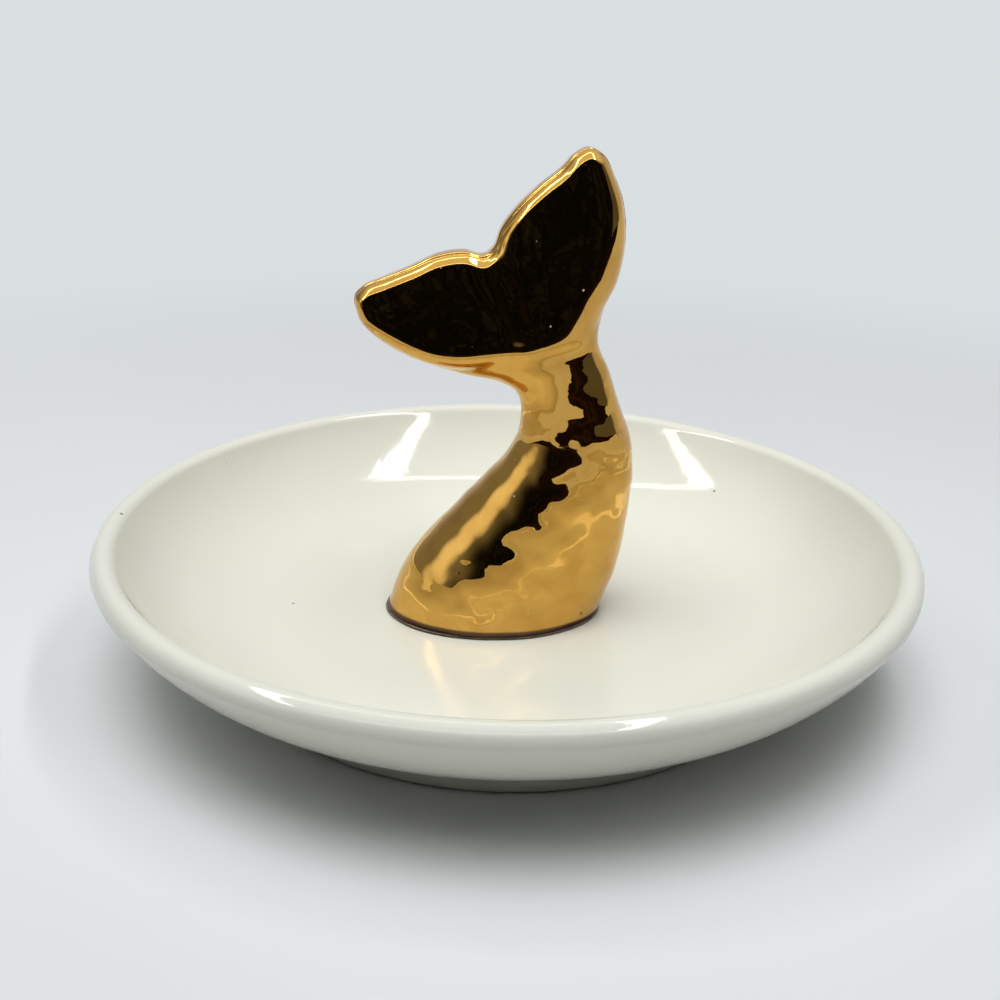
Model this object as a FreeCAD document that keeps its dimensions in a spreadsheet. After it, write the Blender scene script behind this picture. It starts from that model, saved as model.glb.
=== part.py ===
import FreeCAD, Part
import math
import os

import Sketcher

# A ring dish: a shallow glazed dish on a foot ring, with a hollow cast whale's tail bonded
# to the middle of its floor. Rings hang on the tail's two lobes, and small things lie in the
# dish around it. Millimetres, +Z up, origin under the middle of the foot ring. The tail's flat
# sides face -Y and +Y, and it leans a little to -Y as it rises.

DRIVING_SIZES = (
    ("dish_diameter", 110.0, "across the widest part of the lip"),
    ("dish_height", 19.2, "table to the top of the lip"),
    ("lip_thickness", 3.5, "rounded lip, inside to outside"),
    ("floor_height", 6.8, "table to the inside floor"),
    ("floor_thickness", 3.0, "floor between the inside and the underside"),
    ("floor_diameter", 64.4, "flat floor, inside the curve of the wall"),
    ("foot_diameter", 73.4, "outside of the foot ring where it stands"),
    ("foot_width", 3.2, "flat of the foot ring before its edges are eased"),
    ("foot_spread", 0.6, "how far each side of the foot ring splays out at its root"),
    ("foot_edge_radius", 0.6, "eased edges of the foot ring"),
    ("foot_root_radius", 1.4, "glaze-filled corners where the foot ring meets the dish"),
    ("tail_offset", -1.8, "middle of the tail's base from the dish's axis"),
    ("base_width", 29.3, "tail's base along X"),
    ("base_depth", 22.0, "tail's base along Y"),
    ("stem_lean", 22.0, "degrees the stem leans to +X as it leaves the floor"),
    ("stem_reach", 13.0, "how far the stem keeps that lean"),
    ("neck_shift", 7.6, "neck from the middle of the base, along X"),
    ("neck_rise", 34.7, "neck above the base"),
    ("neck_reach", 11.0, "how far below the neck the stem bends back"),
    ("neck_width", 13.4, "neck in the plane of the tail"),
    ("neck_depth", 9.7, "neck front to back"),
    ("tail_forward", 3.5, "fluke in front of the base, to -Y"),
    ("fluke_tilt", 32.2, "degrees the fluke's axis tips back to -X"),
    ("root_rise", 4.6, "neck to the flared root of the fluke"),
    ("root_width", 17.7, "flared root in the plane of the tail"),
    ("root_depth", 9.8, "flared root front to back"),
    ("notch_rise", 17.1, "neck to the notch between the lobes"),
    ("notch_shift", 0.6, "notch from the neck's axis, towards the upper lobe"),
    ("fluke_span", 35.0, "tip to tip"),
    ("tip_rise", 5.5, "trailing edge at the tips above the notch"),
    ("tip_level", 2.3, "widest point of the leading edge above the notch"),
    ("lobe_depth", 16.9, "leading edge from its widest point down to the root"),
    ("lobe_thickness", 10.6, "lobes along the leading edge, at the fluke's axis"),
    ("tip_thickness", 6.4, "lobes along the leading edge, where they round off into the tips"),
    ("edge_thickness", 5.6, "lobes along the trailing edge"),
    ("tip_nose", 2.2, "blunt nose of each lobe"),
    ("tail_wall", 2.8, "wall of the hollow stem"),
    ("adhesive_thickness", 0.5, "bed of adhesive under the tail"),
    ("adhesive_squeeze", 0.3, "adhesive pressed out around the tail's base"),
)

doc = FreeCAD.newDocument("ring_dish")
sheet = doc.addObject("Spreadsheet::Sheet", "Sheet")
for row, (alias, size, meaning) in enumerate(DRIVING_SIZES, start=1):
    sheet.set(f"A{row}", alias)
    sheet.set(f"B{row}", str(size))
    sheet.set(f"C{row}", meaning)
    sheet.setAlias(f"B{row}", alias)
doc.recompute()


# Dish: thrown or jiggered in one with its foot ring, so it is one revolved section.

def origin_plane(body, role):
    """The body's own origin plane with this role."""
    return next(feature for feature in body.Origin.OriginFeatures if feature.Role == role)


def polar(centre, radius, angle):
    """The point at this radius and angle from a centre, in a sketch."""
    return FreeCAD.Vector(centre.x + radius * math.cos(angle), centre.y + radius * math.sin(angle), 0)


def arc(centre, radius, start, end):
    """A counter-clockwise arc between two angles."""
    circle = Part.Circle(centre, FreeCAD.Vector(0, 0, 1), radius)
    return Part.ArcOfCircle(circle, start, end)


def draw_dish_section(sketch):
    """Half of the dish's section. The wall's two arcs leave the floor and the underside level,
    above the edge of the flat floor, and run tangent into the round lip."""
    point = FreeCAD.Vector
    lip = sheet.lip_thickness / 2
    lip_centre = point(sheet.dish_diameter / 2 - lip, sheet.dish_height - lip, 0)
    curve_start = sheet.floor_diameter / 2
    underside = sheet.floor_height - sheet.floor_thickness
    run = lip_centre.x - curve_start
    inner_rise = lip_centre.y - sheet.floor_height
    outer_rise = lip_centre.y - underside
    inner_radius = (run**2 + inner_rise**2 - lip**2) / (2 * (inner_rise + lip))
    outer_radius = (run**2 + outer_rise**2 - lip**2) / (2 * (outer_rise - lip))
    inner_centre = point(curve_start, sheet.floor_height + inner_radius, 0)
    outer_centre = point(curve_start, underside + outer_radius, 0)
    inner_end = math.atan2(lip_centre.y - inner_centre.y, run)
    outer_end = math.atan2(lip_centre.y - outer_centre.y, run)
    foot_out = sheet.foot_diameter / 2
    foot_in = foot_out - sheet.foot_width
    outer_start = -math.acos((foot_out + sheet.foot_spread - curve_start) / outer_radius)
    foot_root = polar(outer_centre, outer_radius, outer_start)

    floor = sketch.addGeometry(Part.LineSegment(
        point(0, sheet.floor_height, 0), point(curve_start, sheet.floor_height, 0)))
    inner_wall = sketch.addGeometry(arc(inner_centre, inner_radius, -math.pi / 2, inner_end))
    lip_outside = sketch.addGeometry(arc(lip_centre, lip, outer_end, math.pi / 2))
    lip_inside = sketch.addGeometry(arc(lip_centre, lip, math.pi / 2, inner_end + math.pi))
    outer_wall = sketch.addGeometry(arc(outer_centre, outer_radius, outer_start, outer_end))
    foot_outside = sketch.addGeometry(Part.LineSegment(foot_root, point(foot_out, 0, 0)))
    foot_flat = sketch.addGeometry(Part.LineSegment(point(foot_out, 0, 0), point(foot_in, 0, 0)))
    foot_inside = sketch.addGeometry(Part.LineSegment(
        point(foot_in, 0, 0), point(foot_in - sheet.foot_spread, underside, 0)))
    under = sketch.addGeometry(Part.LineSegment(
        point(foot_in - sheet.foot_spread, underside, 0), point(0, underside, 0)))
    axis = sketch.addGeometry(Part.LineSegment(point(0, underside, 0), point(0, sheet.floor_height, 0)))

    origin, x_axis, y_axis = -1, -1, -2
    start, end, middle = 1, 2, 3
    add = sketch.addConstraint
    constraint = Sketcher.Constraint
    add(constraint("Tangent", floor, end, inner_wall, start))
    add(constraint("Tangent", inner_wall, end, lip_inside, end))
    add(constraint("Tangent", lip_outside, start, outer_wall, end))
    add(constraint("Coincident", lip_outside, end, lip_inside, start))
    add(constraint("Coincident", lip_outside, middle, lip_inside, middle))
    add(constraint("Vertical", lip_outside, middle, lip_outside, end))
    for first, second in ((outer_wall, foot_outside), (foot_outside, foot_flat), (foot_flat, foot_inside),
                          (foot_inside, under), (under, axis), (axis, floor)):
        first_end = start if first == outer_wall else end
        add(constraint("Coincident", first, first_end, second, start))
    for level_line in (floor, foot_flat, under):
        add(constraint("Horizontal", level_line))
    add(constraint("PointOnObject", floor, start, y_axis))
    add(constraint("PointOnObject", under, end, y_axis))
    add(constraint("PointOnObject", foot_flat, start, x_axis))
    add(constraint("Tangent", outer_wall, under))

    def dimension(kind, geometry, place, expression):
        """A distance from the sketch's origin, bound to the sheet."""
        number = add(constraint(kind, origin, start, geometry, place, 1.0))
        sketch.setExpression(f"Constraints[{number}]", expression)

    dimension("DistanceY", floor, start, "Sheet.floor_height")
    dimension("DistanceY", under, end, "Sheet.floor_height - Sheet.floor_thickness")
    dimension("DistanceX", floor, end, "Sheet.floor_diameter / 2")
    dimension("DistanceX", outer_wall, middle, "Sheet.floor_diameter / 2")
    dimension("DistanceX", lip_outside, middle, "(Sheet.dish_diameter - Sheet.lip_thickness) / 2")
    dimension("DistanceY", lip_outside, middle, "Sheet.dish_height - Sheet.lip_thickness / 2")
    dimension("DistanceX", foot_outside, start, "Sheet.foot_diameter / 2 + Sheet.foot_spread")
    dimension("DistanceX", foot_flat, start, "Sheet.foot_diameter / 2")
    dimension("DistanceX", foot_flat, end, "Sheet.foot_diameter / 2 - Sheet.foot_width")
    dimension("DistanceX", under, start, "Sheet.foot_diameter / 2 - Sheet.foot_width - Sheet.foot_spread")
    lip_size = add(constraint("Radius", lip_outside, lip))
    sketch.setExpression(f"Constraints[{lip_size}]", "Sheet.lip_thickness / 2")


def underside_rings(shape, radii, tolerance=0.001):
    """Names of the circular edges with these radii on the dish's underside."""
    middle_of_floor = sheet.floor_height - sheet.floor_thickness / 2
    names = []
    for number, edge in enumerate(shape.Edges, start=1):
        if not isinstance(edge.Curve, Part.Circle) or edge.Curve.Center.z > middle_of_floor:
            continue
        if any(abs(edge.Curve.Radius - radius) < tolerance for radius in radii):
            names.append(f"Edge{number}")
    return names


def ease(body, name, radii, size):
    """Round the underside's edges at these radii, by a size in the sheet."""
    doc.recompute()
    before = body.Tip
    fillet = body.newObject("PartDesign::Fillet", name)
    fillet.Base = (before, underside_rings(before.Shape, radii))
    fillet.setExpression("Radius", f"Sheet.{size}")
    body.Tip = fillet


dish = doc.addObject("PartDesign::Body", "dish")
dish.Label = "dish"
dish_section = dish.newObject("Sketcher::SketchObject", "dish_section")
dish_section.AttachmentSupport = [(origin_plane(dish, "XZ_Plane"), "")]
dish_section.MapMode = "FlatFace"
draw_dish_section(dish_section)
dish_turned = dish.newObject("PartDesign::Revolution", "dish_turned")
dish_turned.Profile = dish_section
dish_turned.ReferenceAxis = (dish_section, ["V_Axis"])
dish_turned.Angle = 360.0
dish.Tip = dish_turned
foot_outer = sheet.foot_diameter / 2
foot_inner = foot_outer - sheet.foot_width
root_outer = foot_outer + sheet.foot_spread
root_inner = foot_inner - sheet.foot_spread
ease(dish, "foot_roots", (root_outer, root_inner), "foot_root_radius")
ease(dish, "foot_edges", (foot_outer, foot_inner), "foot_edge_radius")


# Tail: cast hollow in a two-part mould that parts along its outline. Its stem and hollow are lofts
# through ellipses that stand across the stem's curved axis. Each lobe is a loft through sections
# across the fluke's span, with flat faces between a round leading and a round trailing edge.

BASE_X = "Sheet.tail_offset"
BASE_Z = "(Sheet.floor_height + Sheet.adhesive_thickness)"
NECK_X = f"({BASE_X} + Sheet.neck_shift)"
NECK_Z = f"({BASE_Z} + Sheet.neck_rise)"
TILT = "(Sheet.fluke_tilt * 1deg)"
LEAN = "(Sheet.stem_lean * 1deg)"

# Places along the stem, 0 at the base and 1 at the neck, each with the shares of the base's extra
# width and extra depth that are left there, and the share of the lean that is reached.
STEM_STATIONS = (
    (0.0, 1.0, 1.0, 0.0),
    (0.25, 0.81, 0.75, 0.16),
    (0.5, 0.45, 0.46, 0.46),
    (0.75, 0.07, 0.15, 0.8),
    (1.0, 0.0, 0.0, 1.0),
)

# The hollow ends a little below the neck, in the same terms.
CAVITY_END = (0.9, 0.0, 0.05, 0.93)

# Places across one lobe, 0 at the fluke's axis and 1 at the tip. Most of the trailing edge's
# climb is close to the notch, and the rest lifts the tip. The nose rounds off only near the tip.
LOBE_STATIONS = (0.0, 0.1, 0.25, 0.5, 0.74, 0.9, 0.97, 1.0)
NOTCH_CLIMB, NOTCH_POWER = 0.8, 4.5
TIP_LIFT, TIP_POWER = 0.2, 3
NOSE_POWER = 16

# Radii of the nose along its leading and its trailing edge, as shares of its length.
NOSE_LEAD, NOSE_TRAIL = 0.36, 0.33

# The stem ends inside the fluke, thinner than the lobes there.
STEM_END_FLATNESS = 0.6


def stand_across(section, x, y, z, angle):
    """Stand a flat section across the tail, with its own X axis in the tail's plane, turned by angle."""
    quarter_turn = FreeCAD.Rotation(FreeCAD.Vector(0, -1, 0), 90)
    section.Placement = FreeCAD.Placement(FreeCAD.Vector(), quarter_turn)
    section.setExpression("Placement.Base.x", x)
    section.setExpression("Placement.Base.y", y)
    section.setExpression("Placement.Base.z", z)
    section.setExpression("Placement.Rotation.Angle", angle)


def ellipse(name, x, y, z, angle, along, across):
    """An ellipse across the tail: its longer axis lies in the tail's plane."""
    section = doc.addObject("Part::Ellipse", name)
    stand_across(section, x, y, z, angle)
    section.setExpression("MajorRadius", f"({along}) / 2")
    section.setExpression("MinorRadius", f"({across}) / 2")
    return section


def loft(name, sections):
    """A smooth closed solid through these sections."""
    solid = doc.addObject("Part::Loft", name)
    solid.Sections = sections
    solid.Solid = True
    solid.Ruled = False
    return solid


def stem_axis(share):
    """The stem's curved axis, from the base at 0 to the neck at 1: a cubic curve that leaves
    the base with the stem's lean and reaches the neck along the fluke's axis."""
    leave = (f"({BASE_X} + Sheet.stem_reach * sin({LEAN}))", f"({BASE_Z} + Sheet.stem_reach * cos({LEAN}))")
    arrive = (f"({NECK_X} + Sheet.neck_reach * sin({TILT}))", f"({NECK_Z} - Sheet.neck_reach * cos({TILT}))")
    rest = 1 - share
    weights = (rest**3, 3 * rest**2 * share, 3 * rest * share**2, share**3)
    x_points = (BASE_X, leave[0], arrive[0], NECK_X)
    z_points = (BASE_Z, leave[1], arrive[1], NECK_Z)
    x = " + ".join(f"{weight} * {point}" for weight, point in zip(weights, x_points))
    z = " + ".join(f"{weight} * {point}" for weight, point in zip(weights, z_points))
    return x, z


def stem_section(name, share, extra_width, extra_depth, lean, wall="0"):
    """A section of the stem, or of its hollow, one wall inside it. Sections lie level up to
    the bend and turn square to the fluke's axis at the neck."""
    x, z = stem_axis(share)
    angle = TILT if share == 1.0 else "0deg"
    along = f"Sheet.neck_width + (Sheet.base_width - Sheet.neck_width) * {extra_width} - 2 * {wall}"
    across = f"Sheet.neck_depth + (Sheet.base_depth - Sheet.neck_depth) * {extra_depth} - 2 * {wall}"
    return ellipse(name, x, f"-Sheet.tail_forward * {lean}", z, angle, along, across)


def fluke_point(span, rise):
    """The point this far across the fluke from its axis, and this far above the neck along it."""
    x = f"{NECK_X} + ({span}) * cos({TILT}) - ({rise}) * sin({TILT})"
    z = f"{NECK_Z} + ({span}) * sin({TILT}) + ({rise}) * cos({TILT})"
    return x, z


def fluke_section(name, rise, along, across):
    """A section of the stem's upper end, square to the fluke's axis."""
    x, z = fluke_point("0", rise)
    return ellipse(name, x, "-Sheet.tail_forward", z, TILT, along, across)


def draw_lobe_section(sketch, lead, trail, apart):
    """Two arcs and the two straight faces that touch both. The arcs round the leading edge, about
    the sketch's origin, and the trailing edge, further along the sketch's X axis."""
    point = FreeCAD.Vector
    turn = math.acos((lead - trail) / apart)
    lead_centre = point(0, 0, 0)
    trail_centre = point(apart, 0, 0)
    lead_arc = sketch.addGeometry(arc(lead_centre, lead, turn, 2 * math.pi - turn))
    trail_arc = sketch.addGeometry(arc(trail_centre, trail, -turn, turn))
    back_face = sketch.addGeometry(Part.LineSegment(
        polar(trail_centre, trail, turn), polar(lead_centre, lead, turn)))
    front_face = sketch.addGeometry(Part.LineSegment(
        polar(lead_centre, lead, -turn), polar(trail_centre, trail, -turn)))
    origin, x_axis = -1, -1
    start, end, middle = 1, 2, 3
    add = sketch.addConstraint
    constraint = Sketcher.Constraint
    add(constraint("Tangent", back_face, end, lead_arc, start))
    add(constraint("Tangent", lead_arc, end, front_face, start))
    add(constraint("Tangent", front_face, end, trail_arc, start))
    add(constraint("Tangent", trail_arc, end, back_face, start))
    add(constraint("Coincident", lead_arc, middle, origin, start))
    add(constraint("PointOnObject", trail_arc, middle, x_axis))
    return (add(constraint("Radius", lead_arc, lead)), add(constraint("Radius", trail_arc, trail)),
            add(constraint("DistanceX", origin, start, trail_arc, middle, apart)))


def lobe_section(name, side, share):
    """A section across one lobe. The leading edge is a quarter ellipse, the trailing edge
    climbs from the notch and levels out, and the lobe thins and closes round its nose."""
    fall = math.sqrt(1 - share**2)
    climb = NOTCH_CLIMB * (1 - (1 - share)**NOTCH_POWER) + TIP_LIFT * share**TIP_POWER
    nose = share**NOSE_POWER
    body = math.sqrt(1 - nose)
    lead = f"(Sheet.tip_level - Sheet.lobe_depth * {fall})"
    trail = f"(Sheet.tip_rise * {climb})"
    chord = f"(({trail} - {lead}) * {body} + Sheet.tip_nose * {nose})"
    fullness = f"(Sheet.tip_thickness + (Sheet.lobe_thickness - Sheet.tip_thickness) * {fall})"
    lead_radius = f"({fullness} / 2 * {body} + Sheet.tip_nose * {NOSE_LEAD * nose})"
    trail_radius = f"(Sheet.edge_thickness / 2 * {body} + Sheet.tip_nose * {NOSE_TRAIL * nose})"
    apart = f"({chord} - {lead_radius} - {trail_radius})"
    span = f"Sheet.notch_shift + {side * share} * Sheet.fluke_span / 2"
    lead_rise = f"Sheet.notch_rise + ({lead} + {trail} - {chord}) / 2 + {lead_radius}"
    x, z = fluke_point(span, lead_rise)
    section = doc.addObject("Sketcher::SketchObject", name)
    sizes = (lead_radius, trail_radius, apart)
    numbers = draw_lobe_section(section, *(sheet.evalExpression(size) for size in sizes))
    for number, size in zip(numbers, sizes):
        section.setExpression(f"Constraints[{number}]", size)
    stand_across(section, x, "-Sheet.tail_forward", z, f"{TILT} + 90deg")
    return section


stem_sections = [stem_section(f"stem_{number}", *station) for number, station in enumerate(STEM_STATIONS)]
stem_sections.append(fluke_section("stem_root", "Sheet.root_rise", "Sheet.root_width", "Sheet.root_depth"))
stem_sections.append(fluke_section("stem_end", "(Sheet.root_rise + Sheet.notch_rise) / 2",
                                   "Sheet.neck_width", f"{STEM_END_FLATNESS} * Sheet.lobe_thickness"))
stem = loft("stem", stem_sections)

lobes = []
for lobe_name, side in (("upper_lobe", 1), ("lower_lobe", -1)):
    lobe_sections = [lobe_section(f"{lobe_name}_{number}", side, share)
                     for number, share in enumerate(LOBE_STATIONS)]
    lobes.append(loft(lobe_name, lobe_sections))

cavity_sections = [stem_section(f"cavity_{number}", *station, "Sheet.tail_wall")
                   for number, station in enumerate(STEM_STATIONS[:-1])]
cavity_sections.append(stem_section("cavity_end", *CAVITY_END, "Sheet.tail_wall"))
cavity = loft("cavity", cavity_sections)

tail_whole = doc.addObject("Part::MultiFuse", "tail_whole")
tail_whole.Shapes = [stem] + lobes
tail = doc.addObject("Part::Cut", "tail")
tail.Label = "tail"
tail.Base = tail_whole
tail.Tool = cavity


# Adhesive bed: a thin ring under the wall of the tail's base, pressed out a little around it.

def bed_section(name, level, growth):
    """An ellipse of the adhesive at a level, wider than the tail's base by growth all round."""
    return ellipse(name, BASE_X, "0", level, "0deg", f"Sheet.base_width + 2 * {growth}",
                   f"Sheet.base_depth + 2 * {growth}")


bed_outside = loft("bed_outside", [bed_section("bed_foot", "Sheet.floor_height", "Sheet.adhesive_squeeze"),
                                   bed_section("bed_top", BASE_Z, "0")])
bed_inside = loft("bed_inside", [bed_section("bed_mouth_foot", "Sheet.floor_height", "-Sheet.tail_wall"),
                                 bed_section("bed_mouth_top", BASE_Z, "-Sheet.tail_wall")])
adhesive_bed = doc.addObject("Part::Cut", "adhesive_bed")
adhesive_bed.Label = "adhesive_bed"
adhesive_bed.Base = bed_outside
adhesive_bed.Tool = bed_inside


# Every object has to be sound before anything is written.

doc.recompute()
for thing in doc.Objects:
    if "Invalid" in thing.State or "Error" in thing.State:
        raise RuntimeError(f"{thing.Name} did not build: {thing.State}")
if not tail.Shape.Volume < tail_whole.Shape.Volume:
    raise RuntimeError("the tail's hollow cuts nothing")
os.makedirs("parts", exist_ok=True)
for node in (dish, tail, adhesive_bed):
    shape = node.Shape
    if shape.isNull() or not shape.isValid() or len(shape.Solids) != 1:
        raise RuntimeError(f"{node.Label} is not one sound solid")
    shape.exportStep(f"parts/{node.Label}.step")
    print(f"{node.Label}: {shape.Volume:.1f} cubic mm, {len(shape.Faces)} faces, {shape.BoundBox}")
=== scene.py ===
import math

import bpy
import numpy as np
from mathutils import Matrix, Vector


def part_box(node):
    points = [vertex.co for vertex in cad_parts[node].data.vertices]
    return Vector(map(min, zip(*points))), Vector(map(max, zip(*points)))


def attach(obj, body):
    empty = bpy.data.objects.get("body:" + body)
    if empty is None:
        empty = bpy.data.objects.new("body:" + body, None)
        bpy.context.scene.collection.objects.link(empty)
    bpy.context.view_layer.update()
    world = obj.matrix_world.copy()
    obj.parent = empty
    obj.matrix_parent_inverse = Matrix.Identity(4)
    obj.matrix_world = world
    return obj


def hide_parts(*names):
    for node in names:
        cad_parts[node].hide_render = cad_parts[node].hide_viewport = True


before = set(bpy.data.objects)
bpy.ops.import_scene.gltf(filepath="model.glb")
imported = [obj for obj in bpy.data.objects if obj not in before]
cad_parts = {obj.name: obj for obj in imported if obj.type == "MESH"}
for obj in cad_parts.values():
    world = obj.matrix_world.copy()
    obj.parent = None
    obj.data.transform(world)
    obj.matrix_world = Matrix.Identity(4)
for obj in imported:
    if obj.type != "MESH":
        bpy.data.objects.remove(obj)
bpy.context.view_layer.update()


# Dish. A shallow round dish of white glazed stoneware, turned in one with its foot ring.
# The glaze covers it all but the flat of the foot ring, which is wiped bare before firing.

MM = 0.001
dish_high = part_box("dish")[1]
lip_radius = 1.75 * MM
floor_level = 6.8 * MM
underside_level = 3.8 * MM
flat_radius = 32.2 * MM
foot_outer, foot_inner = 36.7 * MM, 33.5 * MM
foot_splay = 0.6 * MM
foot_ease = 0.5 * MM
root_ease = 1.4 * MM
root_reach = 0.9 * root_ease
wobble_depth = 0.14 * MM
dish_turns = 320
floor_steps, wall_steps, lip_steps, underside_steps = 25, 40, 36, 12

glaze_warm, glaze_cool = (0.800, 0.795, 0.695), (0.775, 0.782, 0.690)
iron_speck, bare_clay = (0.16, 0.14, 0.12), (0.62, 0.57, 0.49)
clay_roughness, floor_roughness, wall_roughness = 0.75, 0.20, 0.07
glaze_starts = (0.15 * MM, 0.45 * MM)
dull_ends = (7.0 * MM, 9.5 * MM)
glaze_ripple = 0.026 * MM
glaze_index = 1.5


def arc_points(centre, radius, start, end, count):
    """Points on an arc, at equal steps of its angle: the centre plus the radius times the angle's
    cosine and sine."""
    angle = np.linspace(start, end, count)
    return np.stack([centre[0] + radius * np.cos(angle), centre[1] + radius * np.sin(angle)], axis=1)


def eased_corner(before, corner, after, reach, count=7):
    """A rounded corner: the quadratic curve that leaves one side and joins the other at the same
    reach from the corner, and bends towards the corner itself."""
    before, corner, after = (np.asarray(point, float) for point in (before, corner, after))
    start = corner + reach * (before - corner) / np.linalg.norm(before - corner)
    end = corner + reach * (after - corner) / np.linalg.norm(after - corner)
    share = np.linspace(0, 1, count)[:, None]
    return (1 - share) ** 2 * start + 2 * share * (1 - share) * corner + share**2 * end


def dish_profile():
    """Half of the dish's section as radius and height, from the middle of the floor over the lip to
    the middle of the underside. Two arcs leave the floor and the underside level and run tangent
    into the round lip."""
    lip_centre = (dish_high.x - lip_radius, dish_high.z - lip_radius)
    run = lip_centre[0] - flat_radius
    inner_rise = lip_centre[1] - floor_level
    outer_rise = lip_centre[1] - underside_level
    inner_radius = (run**2 + inner_rise**2 - lip_radius**2) / (2 * (inner_rise + lip_radius))
    outer_radius = (run**2 + outer_rise**2 - lip_radius**2) / (2 * (outer_rise - lip_radius))
    inner_centre = (flat_radius, floor_level + inner_radius)
    outer_centre = (flat_radius, underside_level + outer_radius)
    inner_end = math.atan2(lip_centre[1] - inner_centre[1], run)
    outer_end = math.atan2(lip_centre[1] - outer_centre[1], run)
    root_radius = foot_outer + foot_splay
    root_drop = math.sqrt(outer_radius**2 - (root_radius - flat_radius) ** 2)
    outer_start = -math.acos((root_radius + root_ease - flat_radius) / outer_radius)

    floor_radii = np.linspace(0, flat_radius, floor_steps + 1)[:-1]
    floor = np.stack([floor_radii, np.full(floor_steps, floor_level)], axis=1)
    inner_wall = arc_points(inner_centre, inner_radius, -math.pi / 2, inner_end, wall_steps)
    lip = arc_points(lip_centre, lip_radius, inner_end + math.pi, outer_end, lip_steps)[1:]
    outer_wall = arc_points(outer_centre, outer_radius, outer_end, outer_start, wall_steps)[1:]

    root = (root_radius, underside_level + outer_radius - root_drop)
    toe, heel = (foot_outer, 0.0), (foot_inner, 0.0)
    inner_root = (foot_inner - foot_splay, underside_level)
    middle = (0.0, underside_level)
    foot = [eased_corner(outer_wall[-1], root, toe, root_reach),
            eased_corner(root, toe, heel, foot_ease),
            eased_corner(toe, heel, inner_root, foot_ease),
            eased_corner(heel, inner_root, middle, root_ease)]
    underside_radii = np.linspace(inner_root[0] - 2 * root_ease, 0, underside_steps)
    underside = np.stack([underside_radii, np.full(underside_steps, underside_level)], axis=1)
    return np.concatenate([floor, inner_wall, lip, outer_wall, *foot, underside])


def turned(profile, turns):
    """A profile turned about the Z axis: the radius times the angle's cosine and sine. Towards the lip
    a slight wobble, of three and five waves inwards and two waves down, draws it in and down."""
    angle = np.arange(turns) * (2 * math.pi / turns)
    radius, height = profile[:, :1], profile[:, 1:]
    outward = (radius / dish_high.x) ** 4
    inwards = 0.5 + 0.3 * np.cos(3 * angle + 0.7) + 0.2 * np.cos(5 * angle + 2.0)
    down = 0.5 + 0.5 * np.sin(2 * angle + 1.1)
    reach = radius - wobble_depth * outward * inwards
    sink = wobble_depth * outward * (height / dish_high.z) * down
    return np.stack([reach * np.cos(angle), reach * np.sin(angle), height - sink], axis=2)


def ring_quads(first, second):
    """Four-sided faces between two closed rings of vertex numbers."""
    return np.stack([first, second, np.roll(second, -1), np.roll(first, -1)], axis=-1).reshape(-1, 4)


def ring_walls(numbers):
    """Four-sided faces between each closed ring of vertex numbers and the next one."""
    return [ring_quads(first, second) for first, second in zip(numbers[:-1], numbers[1:])]


def cap(ring, pole):
    """Three-sided faces from a closed ring of vertex numbers to one vertex."""
    return np.stack([ring, np.full_like(ring, pole), np.roll(ring, -1)], axis=-1)


def add_piece(name, points, faces, material):
    """A smooth mesh object from an array of points and a list of face arrays, at the origin."""
    mesh = bpy.data.meshes.new(name)
    all_faces = [face for part in faces for face in part.tolist()]
    mesh.from_pydata(points.reshape(-1, 3).tolist(), [], all_faces)
    mesh.polygons.foreach_set("use_smooth", np.ones(len(mesh.polygons), bool))
    mesh.materials.append(material)
    mesh.update()
    piece = bpy.data.objects.new(name, mesh)
    bpy.context.scene.collection.objects.link(piece)
    return piece


def new_finish(name):
    """A new procedural material: itself, its node tree, its Principled shader and Object coordinates."""
    finish = bpy.data.materials.new(name)
    finish.use_nodes = True
    tree = finish.node_tree
    shader = tree.nodes["Principled BSDF"]
    place = tree.nodes.new("ShaderNodeTexCoord").outputs["Object"]
    return finish, tree, shader, place


def feed(tree, socket, value):
    """Links a socket to another one, or sets it to a plain colour or number."""
    if isinstance(value, bpy.types.NodeSocket):
        tree.links.new(value, socket)
    elif isinstance(value, tuple):
        socket.default_value = (*value, 1.0)
    else:
        socket.default_value = value


def reckon(tree, operation, first, second):
    """One sum on two numbers. Either is a plain number or a socket."""
    node = tree.nodes.new("ShaderNodeMath")
    node.operation = operation
    feed(tree, node.inputs[0], first)
    feed(tree, node.inputs[1], second)
    return node.outputs[0]


def blend_value(tree, share, under, over, kind="FLOAT"):
    """One number over another by a share. Each is a plain number or a socket."""
    mix = tree.nodes.new("ShaderNodeMix")
    mix.data_type = kind
    feed(tree, mix.inputs["Factor"], share)
    feed(tree, mix.inputs["A"], under)
    feed(tree, mix.inputs["B"], over)
    return mix.outputs["Result"]


def blend_colour(tree, share, under, over):
    """One colour over another by a share, in the same way."""
    return blend_value(tree, share, under, over, "RGBA")


def cloud(tree, place, scale, detail=3.0, roughness=0.5):
    """Soft noise between 0 and 1, at so many waves to the metre."""
    noise = tree.nodes.new("ShaderNodeTexNoise")
    noise.inputs["Scale"].default_value = scale
    noise.inputs["Detail"].default_value = detail
    noise.inputs["Roughness"].default_value = roughness
    tree.links.new(place, noise.inputs["Vector"])
    return noise.outputs["Fac"]


def between(tree, value, low, high):
    """A smooth step: 0 below low, 1 above high, or the other way round where high is the smaller."""
    step = tree.nodes.new("ShaderNodeMapRange")
    step.interpolation_type = "SMOOTHSTEP"
    step.inputs["From Min"].default_value = low
    step.inputs["From Max"].default_value = high
    tree.links.new(value, step.inputs["Value"])
    return step.outputs["Result"]


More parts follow.
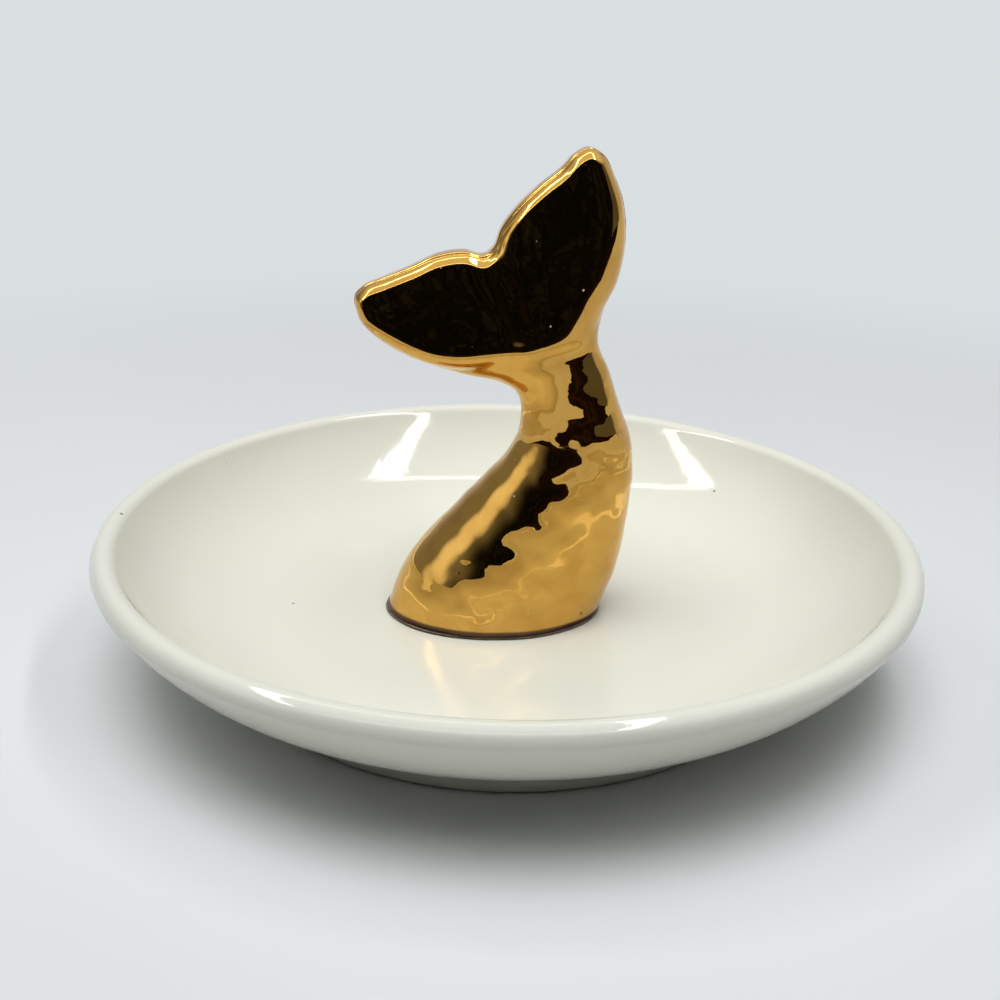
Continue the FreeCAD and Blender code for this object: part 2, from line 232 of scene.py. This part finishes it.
def sparse_specks(tree, place, scale, size, share):
    """Round specks, 1 inside and 0 outside: the cells of a scattered pattern, so many to the metre,
    each as large as size in cells and soft in its outer part, and only the given share of them."""
    cells = tree.nodes.new("ShaderNodeTexVoronoi")
    cells.inputs["Scale"].default_value = scale
    tree.links.new(place, cells.inputs["Vector"])
    inside = between(tree, cells.outputs["Distance"], size, 0.4 * size)
    lot = tree.nodes.new("ShaderNodeSeparateColor")
    tree.links.new(cells.outputs["Color"], lot.inputs["Color"])
    chosen = reckon(tree, "LESS_THAN", lot.outputs["Red"], share)
    return reckon(tree, "MULTIPLY", inside, chosen)


def raise_bump(tree, shader, height, depth):
    """Small relief on a shader, so deep where the height goes from 0 to 1."""
    bump = tree.nodes.new("ShaderNodeBump")
    bump.inputs["Distance"].default_value = depth
    tree.links.new(height, bump.inputs["Height"])
    tree.links.new(bump.outputs["Normal"], shader.inputs["Normal"])


def height_above(tree, place):
    """Object height as a socket."""
    split = tree.nodes.new("ShaderNodeSeparateXYZ")
    tree.links.new(place, split.inputs["Vector"])
    return split.outputs["Z"]


def white_glaze():
    """Cream-white gloss glaze with a faint cloudiness and a few iron specks. It is bare clay on the
    foot, and a little duller low down, where rings are laid."""
    finish, tree, shader, place = new_finish("white_glaze")
    clouded = blend_colour(tree, cloud(tree, place, 55), glaze_warm, glaze_cool)
    specks = sparse_specks(tree, place, 170, 0.062, 0.12)
    specked = blend_colour(tree, specks, clouded, iron_speck)
    height = height_above(tree, place)
    glazed = between(tree, height, *glaze_starts)
    tree.links.new(blend_colour(tree, glazed, bare_clay, specked), shader.inputs["Base Color"])
    sheen = blend_value(tree, between(tree, height, *dull_ends), floor_roughness, wall_roughness)
    tree.links.new(blend_value(tree, glazed, clay_roughness, sheen), shader.inputs["Roughness"])
    raise_bump(tree, shader, cloud(tree, place, 330, detail=2.0), glaze_ripple)
    shader.inputs["IOR"].default_value = glaze_index
    return finish


# The profile's first and last points lie on the axis, where one vertex each closes the surface.
dish_points = turned(dish_profile(), dish_turns)[1:-1]
dish_poles = [[0, 0, floor_level], [0, 0, underside_level]]
dish_vertices = np.concatenate([dish_points.reshape(-1, 3), dish_poles])
floor_pole = len(dish_vertices) - 2
underside_pole = len(dish_vertices) - 1
dish_numbers = np.arange(floor_pole).reshape(-1, dish_turns)
dish_faces = ring_walls(dish_numbers)
dish_faces.append(cap(dish_numbers[0][::-1], floor_pole))
dish_faces.append(cap(dish_numbers[-1], underside_pole))
dish = add_piece("glazed_dish", dish_vertices, dish_faces, white_glaze())
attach(dish, "root")
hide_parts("dish")


# Adhesive. A bead of clear epoxy that has yellowed and picked up dust where it was pressed out
# around the tail's base, between the tail and the dish's floor. Its dark brown is partly the
# yellowed epoxy and partly painted shade in the joint.

bead_low, bead_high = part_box("adhesive_bed")
bead_inset = 0.1 * MM
bead_middle = ((bead_low.x + bead_high.x) / 2, (bead_low.y + bead_high.y) / 2)
bead_half_width = (bead_high.x - bead_low.x) / 2 - bead_inset
bead_half_depth = (bead_high.y - bead_low.y) / 2 - bead_inset
bead_width = 3.0 * MM
bead_unevenness = 0.22 * MM
bead_around, bead_along = 192, 16

# Dark browns: partly the yellowed epoxy and partly painted shade in the joint.
epoxy_and_shade_brown, dusty_epoxy_and_shade_brown = (0.15, 0.09, 0.05), (0.085, 0.06, 0.04)
epoxy_roughness, dusty_roughness = 0.4, 0.7


def bead_surface():
    """An uneven ring of adhesive: a bead of oval section carried round the ellipse of the tail's base,
    its outer edge drawn in by a few slow waves."""
    angle = np.arange(bead_around) * (2 * math.pi / bead_around)
    section = np.linspace(0, 2 * math.pi, bead_along, endpoint=False)[:, None]
    waves = (0.5 + 0.25 * np.sin(3 * angle + 0.4) + 0.15 * np.sin(7 * angle + 1.3)
             + 0.1 * np.sin(11 * angle))
    across = 0.5 * (1 + np.cos(section))
    inset = bead_width * (1 - across) + bead_unevenness * waves * across
    rise = 0.5 + 0.5 * np.sin(section)
    x = bead_middle[0] + (bead_half_width - inset) * np.cos(angle)
    y = bead_middle[1] + (bead_half_depth - inset) * np.sin(angle)
    z = np.broadcast_to(bead_low.z + (bead_high.z - bead_low.z) * rise, x.shape)
    return np.stack([x, y, z], axis=2)


def clear_adhesive():
    """Yellowed epoxy, glossy, with dust held in it in soft patches. Its dark brown is partly painted
    shade in the joint under the tail.
    """
    finish, tree, shader, place = new_finish("clear_adhesive")
    dusty = between(tree, cloud(tree, place, 600), 0.45, 0.65)
    # The dark brown here is partly the yellowed epoxy and partly painted shade in the joint.
    tree.links.new(blend_colour(tree, dusty, epoxy_and_shade_brown, dusty_epoxy_and_shade_brown), shader.inputs["Base Color"])
    tree.links.new(blend_value(tree, dusty, epoxy_roughness, dusty_roughness), shader.inputs["Roughness"])
    return finish


# The last ring of the bead joins its first one again.
bead_points = bead_surface()
bead_numbers = np.arange(bead_along * bead_around).reshape(bead_along, bead_around)
bead_rings = np.concatenate([bead_numbers, bead_numbers[:1]])
bead_faces = [quads[:, ::-1] for quads in ring_walls(bead_rings)]
bead = add_piece("adhesive_bead", bead_points, bead_faces, clear_adhesive())
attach(bead, "root")
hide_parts("adhesive_bed")


# Tail. A whale's tail of glazed stoneware under a fired gold lustre, slip cast hollow in a two-part
# mould that parts along its outline. It stands on the adhesive, open at its base.

# Stations up the tail, in millimetres: the left edge and the right edge, each across and up, half
# depth of the stem, half depth of the fluke, widths of the fluke's rolled edge left and right, and
# how far the tail leans forward.
tail_stations = np.array([
    (-16.4, 7.3, 12.9, 7.3, 11.0, 0.0, 6.0, 6.0, 0.0),
    (-13.6, 14.1, 15.0, 13.7, 10.0, 0.0, 6.0, 6.0, 0.3),
    (-8.8, 20.3, 16.0, 20.6, 8.7, 0.0, 6.0, 6.0, 0.95),
    (-3.7, 26.0, 16.2, 27.0, 7.4, 0.0, 6.0, 6.0, 1.75),
    (0.1, 31.1, 15.7, 32.2, 6.2, 0.0, 6.0, 6.0, 2.5),
    (1.1, 35.2, 13.9, 36.9, 5.3, 4.0, 5.5, 5.5, 3.05),
    (0.4, 38.5, 12.3, 41.4, 4.8, 5.0, 5.2, 6.8, 3.35),
    (-2.2, 40.3, 10.6, 45.5, 4.85, 5.4, 4.6, 6.3, 3.5),
    (-7.0, 41.3, 11.1, 49.3, 4.9, 5.2, 3.1, 5.0, 3.5),
    (-11.9, 42.9, 12.7, 53.3, 4.9, 4.6, 2.2, 3.8, 3.5),
    (-16.3, 45.2, 13.4, 58.3, 4.5, 3.9, 2.0, 2.4, 3.5),
    (-19.2, 47.7, 12.9, 63.0, 4.0, 3.1, 1.2, 1.5, 3.5),
    (-20.1, 50.0, 11.4, 66.8, 3.5, 2.4, 0.9, 1.0, 3.5),
]) * MM

# The trailing edge from the left tip over the notch to the right tip, in millimetres.
trailing_edge = np.array([
    (-20.1, 50.0), (-20.1, 51.2), (-19.1, 52.3), (-16.6, 53.4), (-13.2, 54.8), (-9.9, 56.3),
    (-6.4, 56.8), (-3.9, 56.4), (-3.0, 57.2), (-2.1, 59.5), (-0.1, 62.3), (2.5, 64.8), (5.1, 66.9),
    (6.8, 68.7), (8.4, 69.5), (10.2, 68.7), (11.4, 66.8),
]) * MM
fluke_start = 0.5
top_roll = 0.1 * MM

# The fluke's flat faces end above this line across the neck, and the stem fades out above it.
neck_left, neck_right = np.array((-2.0, 42.3)) * MM, np.array((10.8, 44.8)) * MM
neck_roll = 3.0 * MM
stem_fade = 0.6
fade_start, fade_run = 0.7 * neck_roll, 1.5 * neck_roll

# Rings up the tail, closer together towards the trailing edge, and those of them that the hollow follows.
tail_rings = 220
tail_around = 288
tail_half = tail_around // 2
ring_crowding = 1.7
tail_wall = 2.8 * MM
hollow_rings = np.arange(0, 64, 3)

# Rows of shallow marks left by the fingers that smoothed the clay: spacing and depth in
# millimetres, direction, phase. A soft crease runs between one mark and the next. They are faint on
# the flat faces and at the neck, and die out at the trailing edge.
finger_marks = ((4.6, 0.070, 0.25, 0.10, 0.95, 0.4), (6.4, 0.080, -0.35, 0.20, 0.90, 1.9),
                (4.2, 0.060, 0.90, -0.30, 0.35, 2.2), (2.9, 0.032, 0.55, 0.20, -0.80, 0.9),
                (7.5, 0.100, 0.75, 0.30, 0.60, 3.0), (2.3, 0.018, 0.80, 0.10, 0.60, 1.2))
crease_softness = 0.18
mark_middle = 0.65
face_calm, neck_calm = 0.9, 0.5
neck_calm_reach = 3.5 * neck_roll
edge_calm = 0.06

gold_bright, gold_worn = (0.655, 0.372, 0.086), (0.575, 0.312, 0.066)
# The brown along the base is partly the bare edge's own colour and partly painted shade in the joint.
pit_brown, dust_pale, bare_edge_and_shade_brown = (0.10, 0.05, 0.02), (0.66, 0.60, 0.50), (0.12, 0.07, 0.04)
bright_roughness, worn_roughness, base_roughness = 0.015, 0.045, 0.4
gold_starts = (7.75 * MM, 8.15 * MM)
gold_ripple = 0.030 * MM


def smooth_through(points, places, knots=None):
    """A smooth curve through the given rows: between two rows a cubic, whose slope at each row is that
    of the line between its neighbours. Knots are the rows' own places, evenly spread if not given."""
    knots = np.linspace(0, 1, len(points)) if knots is None else knots
    slopes = np.gradient(points, knots, axis=0)
    first = np.clip(np.searchsorted(knots, places, side="right") - 1, 0, len(points) - 2)
    span = (knots[first + 1] - knots[first])[:, None]
    step = (places - knots[first])[:, None] / span
    start, end = points[first], points[first + 1]
    leave, arrive = span * slopes[first], span * slopes[first + 1]
    return (start + step * leave + step**2 * (3 * (end - start) - 2 * leave - arrive)
            + step**3 * (2 * (start - end) + leave + arrive))


def along_length(points):
    """Places of the given points from 0 to 1, by the length of the line through them."""
    length = np.concatenate([[0], np.cumsum(np.linalg.norm(np.diff(points, axis=0), axis=1))])
    return length / length[-1]


def eased(share):
    """A smooth step from 0 to 1."""
    share = np.clip(share, 0, 1)
    return share * share * (3 - 2 * share)


def round_over(share):
    """The height of a quarter circle: 0 at the edge, 1 from the roll's width inwards."""
    return np.sqrt(np.clip(1 - (1 - np.clip(share, 0, 1)) ** 2, 0, 1))


def larger_softly(first, second, softness=0.08):
    """The larger of two heights, with the valley between them filled in by a share of both."""
    return 0.5 * (first + second + np.sqrt((first - second) ** 2 + (softness * (first + second)) ** 2))


def smaller_softly(first, second, softness=0.45):
    """The smaller of two shares, with the corner where they meet rounded off."""
    return 0.5 * (first + second - np.sqrt((first - second) ** 2 + softness**2))


def pressed(points):
    """How far the clay stands out at each point: the sum of the rows of finger marks, each the size of
    a sine of the distance along its direction, rounded where the sine changes sign."""
    total = np.zeros(points.shape[:-1])
    for spacing, depth, x, y, z, phase in finger_marks:
        direction = np.array([x, y, z]) / math.sqrt(x * x + y * y + z * z)
        wave = np.sin(points @ direction * (math.pi / (spacing * MM)) + phase)
        total += depth * MM * (np.sqrt(wave**2 + crease_softness**2) - mark_middle)
    return total


def tail_plan(ring, across):
    """The tail laid flat: rings run from the left edge to the right edge, straight on the stem, and
    take on the shape of the trailing edge towards the top. Returns the plan, the depths of stem and
    fluke, the roll's width and the lean."""
    station = smooth_through(tail_stations, ring)
    left, right = station[:, None, 0:2], station[:, None, 2:4]
    stem_depth, fluke_depth = station[:, 4:5], station[:, 5:6]
    left_roll, right_roll, lean = station[:, 6:7], station[:, 7:8], station[:, 8:9]
    share = across[None, :, None]
    top = smooth_through(trailing_edge, across, along_length(trailing_edge))
    tips = (1 - share) * trailing_edge[0] + share * trailing_edge[-1]
    lift = eased((ring - fluke_start) / (1 - fluke_start))[:, None, None]
    plan = (1 - share) * left + share * right + lift * (top[None] - tips)
    middle_roll = top_roll * 4 * across * (1 - across)
    roll = (1 - across) * left_roll + across * right_roll + middle_roll
    return plan, stem_depth, fluke_depth, roll, lean


def edge_distance(plan):
    """Distance of each point of the flat tail from the nearest point of its edge, ring by ring."""
    edge = np.concatenate([plan[:, 0], plan[-1], plan[:, -1]])
    gaps = (row[:, None] - edge for row in plan)
    return np.stack([np.hypot(gap[..., 0], gap[..., 1]).min(axis=1) for gap in gaps])


def above_neck(plan):
    """Distance of each point of the flat tail above the line across the neck."""
    along = (neck_right - neck_left) / np.linalg.norm(neck_right - neck_left)
    return (plan[..., 1] - neck_left[1]) * along[0] - (plan[..., 0] - neck_left[0]) * along[1]


def tail_surface():
    """The tail as closed rings. The stem is oval across, the fluke has flat faces with a rolled edge all
    round, and the tail is the larger of the two. Front and back are the same, and the finger marks are
    pressed along the surface's normal."""
    climb = np.linspace(0, 1, tail_rings)
    ring = 1 - (1 - climb) ** ring_crowding
    angle = np.linspace(0, math.pi, tail_half + 1)
    across = 0.5 - 0.5 * np.cos(angle)
    plan, stem_depth, fluke_depth, roll, lean = tail_plan(ring, across)
    over_neck = above_neck(plan)
    faded = stem_fade * eased((over_neck - fade_start) / fade_run)
    stem = stem_depth * np.sin(angle) * (1 - faded)
    inwards = smaller_softly(edge_distance(plan) / roll, over_neck / neck_roll)
    half_depth = larger_softly(stem, fluke_depth * round_over(inwards))
    half_depth[-1] = 0
    half_depth[:, [0, -1]] = 0
    front = np.stack([plan[..., 0], -half_depth - lean, plan[..., 1]], axis=2)
    back = np.stack([plan[..., 0], half_depth - lean, plan[..., 1]], axis=2)[:, -2:0:-1]
    surface = np.concatenate([front, back], axis=1)

    around = np.roll(surface, -1, axis=1) - np.roll(surface, 1, axis=1)
    normal = np.cross(around, np.gradient(surface, axis=0))
    normal /= np.maximum(np.linalg.norm(normal, axis=2, keepdims=True), 1e-12)
    on_face = face_calm * eased(over_neck / neck_roll)
    on_neck = neck_calm * eased((over_neck + neck_calm_reach) / neck_roll)
    calm = np.maximum(on_face, on_neck)
    calm_all_round = np.concatenate([calm, calm[:, -2:0:-1]], axis=1)
    marked = (1 - calm_all_round) * eased((1 - ring) / edge_calm)[:, None]
    return surface + normal * (marked * pressed(surface))[..., None]


def tail_hollow(surface):
    """The hollow inside the stem: the stem's own rings, each drawn towards its middle by the wall's
    thickness over the ring's mean radius."""
    rings = surface[hollow_rings]
    middle = rings.mean(axis=1, keepdims=True)
    radius = np.linalg.norm(rings - middle, axis=2).mean(axis=1)[:, None, None]
    return middle + (rings - middle) * (1 - tail_wall / radius)


def gold_lustre():
    """Fired gold: a thin bright metal film over glaze, with brushed-on unevenness, brown pits where
    the film broke, a few grains of dust, and a dull-brown line along the base, partly the bare edge
    where the lustre ends and partly painted shade in the joint."""
    finish, tree, shader, place = new_finish("gold_lustre")
    worn = between(tree, cloud(tree, place, 260, detail=5.0), 0.40, 0.72)
    film = blend_colour(tree, worn, gold_bright, gold_worn)
    pitted = blend_colour(tree, sparse_specks(tree, place, 420, 0.16, 0.05), film, pit_brown)
    dust = sparse_specks(tree, place, 520, 0.11, 0.10)
    dusted = blend_colour(tree, dust, pitted, dust_pale)
    tree.links.new(blend_value(tree, dust, 1.0, 0.0), shader.inputs["Metallic"])
    # The lowest band of the tail is dull brown: partly the bare edge where the lustre ends and partly
    # painted shade in the joint above the adhesive.
    above = between(tree, height_above(tree, place), *gold_starts)
    tree.links.new(blend_colour(tree, above, bare_edge_and_shade_brown, dusted), shader.inputs["Base Color"])
    sheen = blend_value(tree, worn, bright_roughness, worn_roughness)
    tree.links.new(blend_value(tree, above, base_roughness, sheen), shader.inputs["Roughness"])
    raise_bump(tree, shader, cloud(tree, place, 430, detail=2.0, roughness=0.4), gold_ripple)
    return finish


# Front and back share the vertices of the trailing edge, so the last ring runs back over its own
# numbers. The hollow's rings follow the skin's, then one vertex that closes the hollow at its top.
tail_points = tail_surface()
tail_numbers = np.arange(tail_rings * tail_around).reshape(tail_rings, tail_around)
tail_numbers[-1, tail_half + 1:] = tail_numbers[-1, tail_half - 1:0:-1]
skin = tail_points.reshape(-1, 3)[:tail_numbers.max() + 1]
hollow_points = tail_hollow(tail_points)
hollow_numbers = np.arange(hollow_points.size // 3).reshape(hollow_points.shape[:2]) + len(skin)
hollow_top = hollow_points[-1].mean(axis=0, keepdims=True)
tail_vertices = np.concatenate([skin, hollow_points.reshape(-1, 3), hollow_top])
tail_faces = [quads[:, ::-1] for quads in ring_walls(tail_numbers)]
tail_faces.append(ring_quads(tail_numbers[0], hollow_numbers[0]))
tail_faces += ring_walls(hollow_numbers)
tail_faces.append(cap(hollow_numbers[-1], len(tail_vertices) - 1))
tail = add_piece("gold_tail", tail_vertices, tail_faces, gold_lustre())
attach(tail, "root")
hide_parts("tail")


# Table and light. A wide pale sweep of paper under a lit frame of four soft strips, as on a small
# product table. Its front is open and dark. A dark sheet there, seen only in reflections, is a painted
# reflection of that dark front in the gold.

view_turn = math.radians(-5.0)
turned_to_camera = Matrix.Rotation(view_turn, 4, "Z")
sheet_half = 6.0
paper_level = -0.03 * MM
reflection_sheet_level = 1 * MM
reflection_sheet_back = -0.165

paper_light, paper_shade = (0.765, 0.78, 0.79), (0.745, 0.76, 0.775)
paper_thrown_back, paper_far = (0.68, 0.68, 0.68), (0.70, 0.735, 0.755)
far_starts = (0.09, 0.27)
# Colours of the painted reflection of the dark open front.
painted_reflection_black, painted_reflection_brown = (0.012, 0.007, 0.004), (0.040, 0.022, 0.012)


def flat_sheet(name, front, back, level, material):
    """One level four-sided sheet from a front edge to a back edge, turned with the camera."""
    corners = [(-sheet_half, front, level), (sheet_half, front, level),
               (sheet_half, back, level), (-sheet_half, back, level)]
    mesh = bpy.data.meshes.new(name)
    mesh.from_pydata([turned_to_camera @ Vector(corner) for corner in corners], [], [(0, 1, 2, 3)])
    mesh.materials.append(material)
    sheet = bpy.data.objects.new(name, mesh)
    bpy.context.scene.collection.objects.link(sheet)
    return sheet


def matt_finish(name):
    """A new procedural material without any gloss."""
    finish, tree, shader, place = new_finish(name)
    shader.inputs["Roughness"].default_value = 1.0
    shader.inputs["Specular IOR Level"].default_value = 0.0
    return finish, tree, shader, place


def paper():
    """Cool white paper with a very faint cloudiness. Far from the dish it shows one even pale tone, and
    it throws a little less light back under the dish than its own tone would."""
    finish, tree, shader, place = matt_finish("paper")
    nodes = tree.nodes
    path = nodes.new("ShaderNodeLightPath")
    clouded = blend_colour(tree, cloud(tree, place, 30), paper_light, paper_shade)
    toned = blend_colour(tree, path.outputs["Is Diffuse Ray"], clouded, paper_thrown_back)
    tree.links.new(toned, shader.inputs["Base Color"])
    away = nodes.new("ShaderNodeVectorMath")
    away.operation = "LENGTH"
    tree.links.new(place, away.inputs[0])
    far = between(tree, away.outputs["Value"], *far_starts)
    seen = reckon(tree, "MAXIMUM", path.outputs["Is Camera Ray"], path.outputs["Is Glossy Ray"])
    even = nodes.new("ShaderNodeEmission")
    even.inputs["Color"].default_value = (*paper_far, 1.0)
    mix = nodes.new("ShaderNodeMixShader")
    tree.links.new(reckon(tree, "MULTIPLY", far, seen), mix.inputs["Fac"])
    tree.links.new(shader.outputs["BSDF"], mix.inputs[1])
    tree.links.new(even.outputs["Emission"], mix.inputs[2])
    tree.links.new(mix.outputs["Shader"], nodes["Material Output"].inputs["Surface"])
    return finish


def dark_reflection_sheet():
    """A black sheet with faint warm patches, seen only in reflections, chiefly in the gold: a painted
    reflection of the dark open front.
    """
    finish, tree, shader, place = matt_finish("dark_reflection_sheet")
    reflection_patches = between(tree, cloud(tree, place, 9), 0.4, 0.7)
    tree.links.new(blend_colour(tree, reflection_patches, painted_reflection_black, painted_reflection_brown), shader.inputs["Base Color"])
    return finish


flat_sheet("paper_sweep", -sheet_half, sheet_half, paper_level, paper())
# A dark sheet on the paper in front, hidden from the camera, from diffuse light and from shadows: a
# painted reflection of the dark front.
reflection_sheet = flat_sheet("front_reflection_sheet", -sheet_half, reflection_sheet_back, reflection_sheet_level, dark_reflection_sheet())
reflection_sheet.visible_camera = False
reflection_sheet.visible_diffuse = False
reflection_sheet.visible_shadow = False

strip_level = 0.300


def strip_light(name, start, end, width, radiance):
    """A straight soft strip facing down between two points of the frame, of the given brightness."""
    start = turned_to_camera @ Vector((*start, strip_level))
    end = turned_to_camera @ Vector((*end, strip_level))
    lamp = bpy.data.lights.new(name, "AREA")
    lamp.shape = "RECTANGLE"
    lamp.size = (end - start).length
    lamp.size_y = width
    lamp.energy = radiance * math.pi * lamp.size * width
    strip = bpy.data.objects.new(name, lamp)
    along = (end - start).normalized()
    across = Vector((0, 0, 1)).cross(along).normalized()
    upward = along.cross(across)
    turn = Matrix((along, across, upward)).transposed().to_4x4()
    strip.matrix_world = Matrix.Translation((start + end) / 2) @ turn
    bpy.context.scene.collection.objects.link(strip)
    return strip


strip_light("strip_right", (0.074, 0.100), (0.172, -0.265), 0.027, 11.4)
strip_light("strip_left", (-0.152, 0.100), (-0.322, -0.200), 0.036, 9.0)
front_strip = strip_light("strip_front", (0.175, -0.280), (-0.335, -0.280), 0.024, 6.0)
front_strip.visible_diffuse = False
strip_light("strip_back", (0.074, 0.103), (-0.152, 0.103), 0.018, 6.0)


def pale_room():
    """The room around the table: soft light from overhead, pale walls at the sides and back, and a
    dark open front. In mirrors a grey patch shows at the right and a bright one at the left. To the
    eye the room is as pale as the paper."""
    world = bpy.data.worlds.new("pale_room")
    world.use_nodes = True
    tree = world.node_tree
    nodes, links = tree.nodes, tree.links
    towards = nodes.new("ShaderNodeTexCoord").outputs["Generated"]

    def patch(direction, outer, inner):
        """A soft round patch of the room: 1 where the look goes straight towards a direction, 0 where
        its share in that direction is below outer."""
        product = nodes.new("ShaderNodeVectorMath")
        product.operation = "DOT_PRODUCT"
        product.inputs[1].default_value = Vector(direction).normalized()
        links.new(towards, product.inputs[0])
        return between(tree, product.outputs["Value"], outer, inner)

    light = blend_value(tree, patch((-0.09, -0.18, 0.98), 0.90, 0.98), 0.01, 4.75)
    faint = between(tree, cloud(tree, towards, 26, detail=4.0), 0.45, 0.75)
    dim = blend_value(tree, faint, 0.004, 0.018)
    sides = blend_value(tree, patch((0.50, 0.87, 0.0), 0.20, 0.70), 0.30, 0.62)
    walls = blend_value(tree, patch((0.25, -0.97, 0.0), 0.15, 0.72), sides, dim)
    walls = blend_value(tree, patch((0.0, 0.0, 1.0), 0.42, 0.76), walls, 1.05)
    walls = blend_value(tree, patch((0.88, -0.47, 0.02), 0.85, 0.90), walls, 0.12)
    mirrored = blend_value(tree, patch((-0.90, -0.24, 0.36), 0.93, 0.995), walls, 1.25)
    path = nodes.new("ShaderNodeLightPath")
    level = blend_value(tree, path.outputs["Is Glossy Ray"], light, mirrored)
    level = blend_value(tree, path.outputs["Is Camera Ray"], level, 0.75)
    nodes["Background"].inputs["Color"].default_value = (0.965, 0.99, 1.0, 1.0)
    links.new(level, nodes["Background"].inputs["Strength"])
    return world


bpy.context.scene.world = pale_room()
bpy.context.scene.view_settings.view_transform = "Standard"


# Camera. It stands a hand's length in front of the dish and looks down on it, as in the photograph.
# The point on the axis a little above the floor lies on the named pixel of a picture 1000 wide.

picture = 1000
aim = Vector((0, 0, 12 * MM))
aim_pixel = (509, 570)
camera_distance = 193 * MM
camera_rise = math.radians(24.19)
camera_roll = math.radians(1.27)
lens_pixels = 1400
pan = math.atan2(aim_pixel[0] - picture / 2, lens_pixels)
tilt = math.atan2(aim_pixel[1] - picture / 2, lens_pixels)
lens = bpy.data.cameras.new("camera")
lens.sensor_width = 36.0
lens.lens = lens_pixels * lens.sensor_width / picture
lens.clip_start = 1 * MM
lens.clip_end = 30.0
camera = bpy.data.objects.new("camera", lens)
camera_place = aim + camera_distance * (turned_to_camera.to_3x3() @ Vector(
    (0, -math.cos(camera_rise), math.sin(camera_rise))))
camera_facing = (Matrix.Rotation(view_turn + pan, 4, "Z")
                 @ Matrix.Rotation(math.pi / 2 - (camera_rise - tilt), 4, "X")
                 @ Matrix.Rotation(camera_roll, 4, "Z"))
camera.matrix_world = Matrix.Translation(camera_place) @ camera_facing
bpy.context.scene.collection.objects.link(camera)
bpy.context.scene.camera = camera
